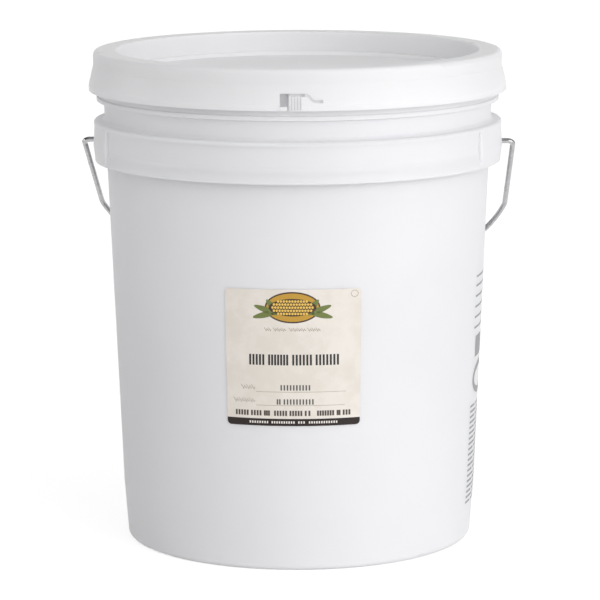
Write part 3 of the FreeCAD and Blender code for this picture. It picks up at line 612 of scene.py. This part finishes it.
# Lines of plain bars. Each span is one group's left and right end, in millimetres from the label's middle.
TITLE_SPANS = ((-31.6, -20.6), (-17.8, -3.3), (-0.4, 13.7), (16.4, 33.0))
UPPER_SPANS = ((-9.0, 12.4),)
LOWER_SPANS = ((-11.8, -9.0), (-6.8, 14.8))
FOOT_SPANS = (
    (-41.8, -32.4), (-30.6, -23.0), (-21.2, -16.8), (-13.8, -4.4), (-2.6, 6.6), (8.4, 12.4),
    (17.2, 29.4), (31.2, 34.0), (35.6, 41.0))
BAND_SPANS = ((-31.7, -18.1), (-15.7, 1.1), (3.6, 8.4), (11.3, 31.7))
# Each rule's height, left end and right end, in millimetres.
RULES = ((25.2, -26.8, 38), (15.2, -26.8, 37))
# Each large scribble's height and left end in millimetres, and its number of strokes.
LARGE_SCRIBBLES = ((28.6, -36.6, 5), (18.8, -42.2, 8))
# Each small scribble's left end in millimetres and its number of strokes. They share one height.
SMALL_SCRIBBLES = ((-19.6, 3), (-13.2, 6), (-1.8, 8), (11.4, 6))
SMALL_SCRIBBLE_UP = 71.4 * MM


class PrintWords(bpy.types.Operator):
    """Print the plain bars that stand for the title, the small lines and their rules"""
    bl_idname = "syrup.print_words"
    bl_label = "Print bars and rules"

    def execute(self, context):
        sizes = context.scene.print_sizes
        colours = context.scene.pail_colours
        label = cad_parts["label"]
        rise = sizes.ink_rise
        sheet = label_sheet()

        bar_rows(sheet, TITLE_SPANS, sizes.title_height, sizes.title_size, sizes.title_pitch, share=0.62)
        sheet.wrap("title_bars", label, rise, printed_ink("title ink", colours.title_ink))

        for spans, base in ((UPPER_SPANS, 26.4 * MM), (LOWER_SPANS, 15.9 * MM)):
            bar_rows(sheet, spans, base, sizes.small_size, pitch=2.2 * MM, share=0.5)
        sheet.wrap("small_bars", label, rise, printed_ink("small ink", colours.small_ink))

        bar_rows(sheet, FOOT_SPANS, base=7.5 * MM, height=3.9 * MM, pitch=1.9 * MM, share=0.72)
        sheet.wrap("foot_bars", label, rise, printed_ink("foot ink", colours.foot_ink))

        rule_line = 0.28 * MM
        for up, left, right in RULES:
            sheet.block((left + right) / 2 * MM, up * MM, (right - left) * MM, rule_line)
        for up, start, count in LARGE_SCRIBBLES:
            scribble(sheet, start * MM, up * MM, count, step=1.9 * MM, height=4.2 * MM)
        for start, count in SMALL_SCRIBBLES:
            scribble(sheet, start * MM, SMALL_SCRIBBLE_UP, count, step=1.5 * MM, height=3.2 * MM)
        sheet.ring(across=44.4 * MM, up=96.9 * MM, width=5.2 * MM, height=5.2 * MM, line=0.35 * MM)
        sheet.wrap("rules_and_scribbles", label, rise, printed_ink("pale ink", colours.pale_ink))

        bar_rows(sheet, BAND_SPANS, base=1.85 * MM, height=1.7 * MM, pitch=1.8 * MM, share=0.58)
        sheet.wrap("band_bars", label, rise, printed_ink("cream ink", colours.paper))
        return {"FINISHED"}


def bar_rows(sheet, spans, base, height, pitch, share):
    """Rows of plain upright bars on a base line that fill each span; a bar is a share of the pitch wide."""
    width = pitch * share
    for left, right in spans:
        length = (right - left) * MM
        count = max(1, round((length + pitch * (1 - share)) / pitch))
        step = (length - width) / max(1, count - 1)
        for place in range(count):
            across = left * MM + width / 2 + place * step
            sheet.block(across, base + height / 2, width, height)


def scribble(sheet, start, up, count, step, height):
    """Fine slanted strokes, each second one shorter, with a finer stroke that leans back after each."""
    slant, back_slant = math.radians(34), math.radians(-28)
    line, fine_line = 0.34 * MM, 0.3 * MM
    for place in range(count):
        reach = height if place % 2 == 0 else 0.6 * height
        sheet.block(start + place * step, up, line, reach, turn=slant)
        sheet.block(start + (place + 0.5) * step, up - 0.2 * height, fine_line, 0.5 * reach,
                    turn=back_slant)


class PrintSide(bpy.types.Operator):
    """Print the column of small grey bars on the pail's right side"""
    bl_idname = "syrup.print_side"
    bl_label = "Print side column"

    def execute(self, context):
        sizes = context.scene.print_sizes
        width = sizes.side_width
        sheet = Sheet(sizes.side_middle, PAIL_LOW.z + sizes.side_foot, surface=-PAIL_HIGH.x)

        # Rows of three bars each, at the foot. Their widths and gaps are shares of the column's width.
        rows, row_pitch, bar_height, gap = 19, 4.1 * MM, 1.7 * MM, 0.05
        odd_row, even_row = (0.3, 0.18, 0.34), (0.2, 0.38, 0.26)
        for row in range(rows):
            left = -width / 2
            for share in odd_row if row % 2 else even_row:
                sheet.block(left + share * width / 2, row * row_pitch, share * width, bar_height)
                left += (share + gap) * width

        # Over them a ring, a block and long bars, all a little left of the column's middle.
        across = -0.1 * width
        for up in (134, 142, 150, 158, 166, 173):
            sheet.block(across, up * MM, 0.8 * width, height=1.6 * MM)
        sheet.block(across, 119 * MM, 0.64 * width, height=16 * MM)
        sheet.ring(across, 94 * MM, 0.74 * width, height=26 * MM, line=5 * MM, sides=96)

        ink = printed_ink("side ink", context.scene.pail_colours.side_ink)
        sheet.wrap("side_bars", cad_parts["pail"], 2.5 * sizes.ink_rise, ink,
                   slot="pail_plastic", to_side=True)
        return {"FINISHED"}


class ShadeTab(bpy.types.Operator):
    """Paint grey shade into the tear strip's groove and between the ribs of its tab, where shadow falls"""
    bl_idname = "syrup.soil_tab"
    bl_label = "Paint shade into the tear strip"

    def execute(self, context):
        rise = context.scene.print_sizes.ink_rise
        soil = context.scene.pail_colours.soil
        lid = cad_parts["lid"]

        # The groove runs level from the slot to its tail. Heights are over the skirt's foot.
        slot_edge, level = 2.4 * MM, 11.4 * MM
        groove_line, tail_line, overlap = 1.5 * MM, 1.7 * MM, 1.12
        slot_turn, groove_sweep = math.radians(-0.3), math.radians(5.4)
        tail_start = LID_HIGH.x * math.sin(slot_turn + groove_sweep)
        sheet = Sheet(tail_start, LID_LOW.z)
        sheet.block((slot_edge - tail_start) / 2, level, tail_start - slot_edge, groove_line)
        points = tail_points(bend=4.4 * MM, drop=4.6 * MM, run=5.0 * MM)
        for (left, high), (right, low) in zip(points, points[1:]):
            length = overlap * math.hypot(right - left, low - high)
            sheet.block((left + right) / 2, level + (high + low) / 2, length, tail_line,
                        turn=math.atan2(low - high, right - left))
        # Painted shade: a grey strip along the groove and its tail, where the groove lies in shadow.
        sheet.wrap("painted_groove_shade", lid, rise, printed_ink("painted groove shade", soil), slot="lid_plastic")

        # A strip of painted shade beside each rib, in short parts that follow the flared skirt.
        ribs, first_strip, rib_pitch, strip_width = 5, 2.5 * MM, 2.07 * MM, 0.8 * MM
        parts, first_part, part_pitch, part_height = 8, 1.3 * MM, 1.18 * MM, 1.2 * MM
        sheet = Sheet(0, LID_LOW.z)
        for rib in range(ribs):
            for part in range(parts):
                sheet.block(first_strip + rib * rib_pitch, first_part + part * part_pitch,
                            strip_width, part_height)
        sheet.wrap("painted_rib_shade", lid, 2 * rise, printed_ink("painted rib shade", soil), slot="lid_plastic")
        return {"FINISHED"}


def tail_points(bend, drop, run, parts=8):
    """The groove's tail as (across, up) from its start: two opposite bends down, then a level run."""
    turn = math.acos(1 - drop / (2 * bend))
    sweep = [turn * part / parts for part in range(parts + 1)]
    reach = 2 * bend * math.sin(turn)
    down = [(bend * math.sin(angle), bend * (math.cos(angle) - 1)) for angle in sweep]
    level_off = [(reach - bend * math.sin(angle), bend * (1 - math.cos(angle)) - drop)
                 for angle in reversed(sweep[:-1])]
    return [*down, *level_off, (reach + run, -drop)]


class BuildStudio(bpy.types.Operator):
    """Set up the floor, the light and the camera"""
    bl_idname = "syrup.build_studio"
    bl_label = "Build studio"

    def execute(self, context):
        scene = context.scene
        settings = scene.studio
        scene.view_settings.view_transform = "Standard"
        make_floor()
        make_surround(scene, settings.surround)
        make_flags()
        make_key_lamp(settings.key_power)
        make_side_lamp(settings.side_power)
        make_camera(scene, settings)
        return {"FINISHED"}


def light_rays(tree):
    """Whether a ray comes from the camera, off a mirror or through glass, each as 1 or 0."""
    return [tree.node("ShaderNodeLightPath", output=name)
            for name in ("Is Camera Ray", "Is Glossy Ray", "Is Transmission Ray")]


def make_floor():
    """A wide plain floor that looks white and keeps a soft shadow."""
    lit_shade, glow_strength, hidden_shade = (0.45, 0.45, 0.45), 0.74, (0.9, 0.9, 0.9)
    clear_selection()
    bpy.ops.mesh.primitive_circle_add(vertices=64, radius=20, fill_type="NGON", location=(0, 0, 0))
    floor = take_new("floor")
    finish = Finish("plain floor")
    lit = finish.node("ShaderNodeBsdfDiffuse", values={"Color": lit_shade})
    glow = finish.node("ShaderNodeEmission", values={"Color": WHITE, "Strength": glow_strength})
    seen = finish.node("ShaderNodeAddShader", values={0: lit, 1: glow})
    hidden = finish.node("ShaderNodeBsdfDiffuse", values={"Color": hidden_shade})
    camera, mirror, glass = light_rays(finish)
    finish.show(finish.mix_shaders(camera.at_least(mirror.at_least(glass)), hidden, seen))
    paint(floor, finish.material)


def make_surround(scene, strength):
    """Soft light from all round, less of it from the left, from behind and from below.

    The camera sees plain white in its place, also through glass. Mirrors see that white only
    behind the pail, and elsewhere a dimmer surround, dimmest on the left.
    """
    from_right, from_front, from_above, from_corners, least = 0.42, 0.3, 0.13, 0.6, 0.1
    mirror_dimming, dimming_slope, white_start, white_full = 0.5, 0.4, 0.6, 0.9
    world = bpy.data.worlds.new("studio surround")
    world.use_nodes = True
    scene.world = world
    sky = Nodes(world.node_tree)
    where = sky.node("ShaderNodeTexCoord", output="Generated")
    across, along, up = (
        sky.node("ShaderNodeSeparateXYZ", values={"Vector": where}, output=axis) for axis in "XYZ")
    lean = across * from_right - along * from_front + up * from_above - across * up * from_corners
    level = ((lean + 1) * strength).at_least(least)
    camera, mirror, glass = light_rays(sky)
    level = level * (1 - mirror * (mirror_dimming - across * dimming_slope))
    even = sky.node("ShaderNodeBackground", values={"Color": WHITE, "Strength": level})
    white = sky.node("ShaderNodeBackground", values={"Color": WHITE, "Strength": 1})
    mirrored = mirror * sky.ramp(along, white_start, white_full)
    shown = camera.at_least(glass.at_least(mirrored))
    sky.show(sky.mix_shaders(shown, even, white), "ShaderNodeOutputWorld")


def direction(turn, rise=0.0):
    """The direction that lies a turn from the front and a rise from level, of length 1."""
    return Vector((math.sin(turn) * math.cos(rise), -math.cos(turn) * math.cos(rise), math.sin(rise)))


def make_flags():
    """Two dark upright screens, hidden from the camera, that draw dark lines in the wire."""
    finish = Finish("black cloth")
    weave = finish.noise(600, detail=2)
    black = finish.surface(Base_Color=(0.012, 0.012, 0.012), Roughness=weave * 0.1 + 0.85)
    height, middle, cuts = 1.3, 0.66, 4
    for name, turn, distance, width in (("left_flag", -106, 1.5, 1.5), ("right_flag", 118, 1.5, 0.45)):
        turn = math.radians(turn)
        clear_selection()
        bpy.ops.mesh.primitive_grid_add(
            x_subdivisions=cuts, y_subdivisions=cuts, size=1, location=(0, 0, 0),
            rotation=(math.pi / 2, 0, turn))
        flag = take_new(name)
        flag.scale = (width, height, 1)
        flag.location = distance * direction(turn) + Vector((0, 0, middle))
        bpy.ops.object.transform_apply(location=True, rotation=True, scale=True)
        flag.visible_camera = False
        paint(flag, black)


def add_lamp(name, kind, power, place, aim):
    """Put a lamp at a place, facing its aim, and return its light."""
    light = bpy.data.lights.new(name, kind)
    light.energy = power
    lamp = bpy.data.objects.new(name, light)
    bpy.context.collection.objects.link(lamp)
    lamp.location = place
    lamp.rotation_euler = (place - aim).to_track_quat("Z", "Y").to_euler()
    return light


def make_key_lamp(power):
    """A large soft lamp low at the front right."""
    turn, rise, distance = math.radians(49), math.radians(12), 2.5
    aim = Vector((0, 0, 0.18))
    light = add_lamp("key", "AREA", power, aim + direction(turn, rise) * distance, aim)
    light.shape = "RECTANGLE"
    light.size, light.size_y = 2.4, 1.6


def make_side_lamp(power):
    """A soft spot lamp on the left, level with the lid, that fades out down the pail's side."""
    turn, distance, height, aim_height = math.radians(-96), 1.2, 0.42, 0.365
    place = direction(turn) * distance + Vector((0, 0, height))
    light = add_lamp("side", "SPOT", power, place, Vector((0, 0, aim_height)))
    light.spot_size = math.radians(29)
    light.spot_blend = 1.0
    light.shadow_soft_size = 0.12


def make_camera(scene, settings):
    """The camera at its settings, aimed near the pail's axis."""
    data = bpy.data.cameras.new("camera")
    data.sensor_width = 36
    data.lens = settings.lens
    data.clip_start, data.clip_end = 0.1, 100
    camera = bpy.data.objects.new("camera", data)
    bpy.context.collection.objects.link(camera)
    back = direction(settings.azimuth, settings.elevation)
    right = Vector((math.cos(settings.azimuth), math.sin(settings.azimuth), 0))
    aim = Vector((0, 0, settings.aim_height)) + right * settings.aim_side
    camera.location = aim + back * settings.distance
    facing = back.to_track_quat("Z", "Y").to_matrix().to_4x4()
    camera.rotation_euler = (facing @ Matrix.Rotation(settings.roll, 4, "Z")).to_euler()
    scene.camera = camera


class SYRUP_PT_pail(bpy.types.Panel):
    """Buttons for every step of dressing the pail, and its settings"""
    bl_label = "Syrup Pail"
    bl_space_type = "VIEW_3D"
    bl_region_type = "UI"
    bl_category = "Syrup Pail"

    def draw(self, context):
        for step in STEPS:
            self.layout.operator(step.bl_idname)
        for group_name in GROUPS:
            group = getattr(context.scene, group_name)
            box = self.layout.box()
            for name in group.__annotations__:
                box.prop(group, name)


STEPS = (
    FinishPlastics, FinishBail, FinishLabel, PrintMedallion, PrintWords, PrintSide, ShadeTab, BuildStudio)
GROUPS = {"pail_colours": PailColours, "print_sizes": PrintSizes, "studio": StudioSettings}


def register():
    """Register every class and hang the settings on the scene."""
    for cls in (*GROUPS.values(), *STEPS, SYRUP_PT_pail):
        bpy.utils.register_class(cls)
    for name, group in GROUPS.items():
        setattr(bpy.types.Scene, name, bpy.props.PointerProperty(type=group))


def unregister():
    """Take the settings off the scene and forget every class."""
    for name in GROUPS:
        delattr(bpy.types.Scene, name)
    for cls in (SYRUP_PT_pail, *reversed(STEPS), *reversed(GROUPS.values())):
        bpy.utils.unregister_class(cls)


def run_step(step):
    """Call one operator by its own name."""
    group, name = step.bl_idname.split(".")
    getattr(getattr(bpy.ops, group), name)()


def main():
    """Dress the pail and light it."""
    register()
    for step in STEPS:
        run_step(step)


if __name__ == "__main__":
    main()
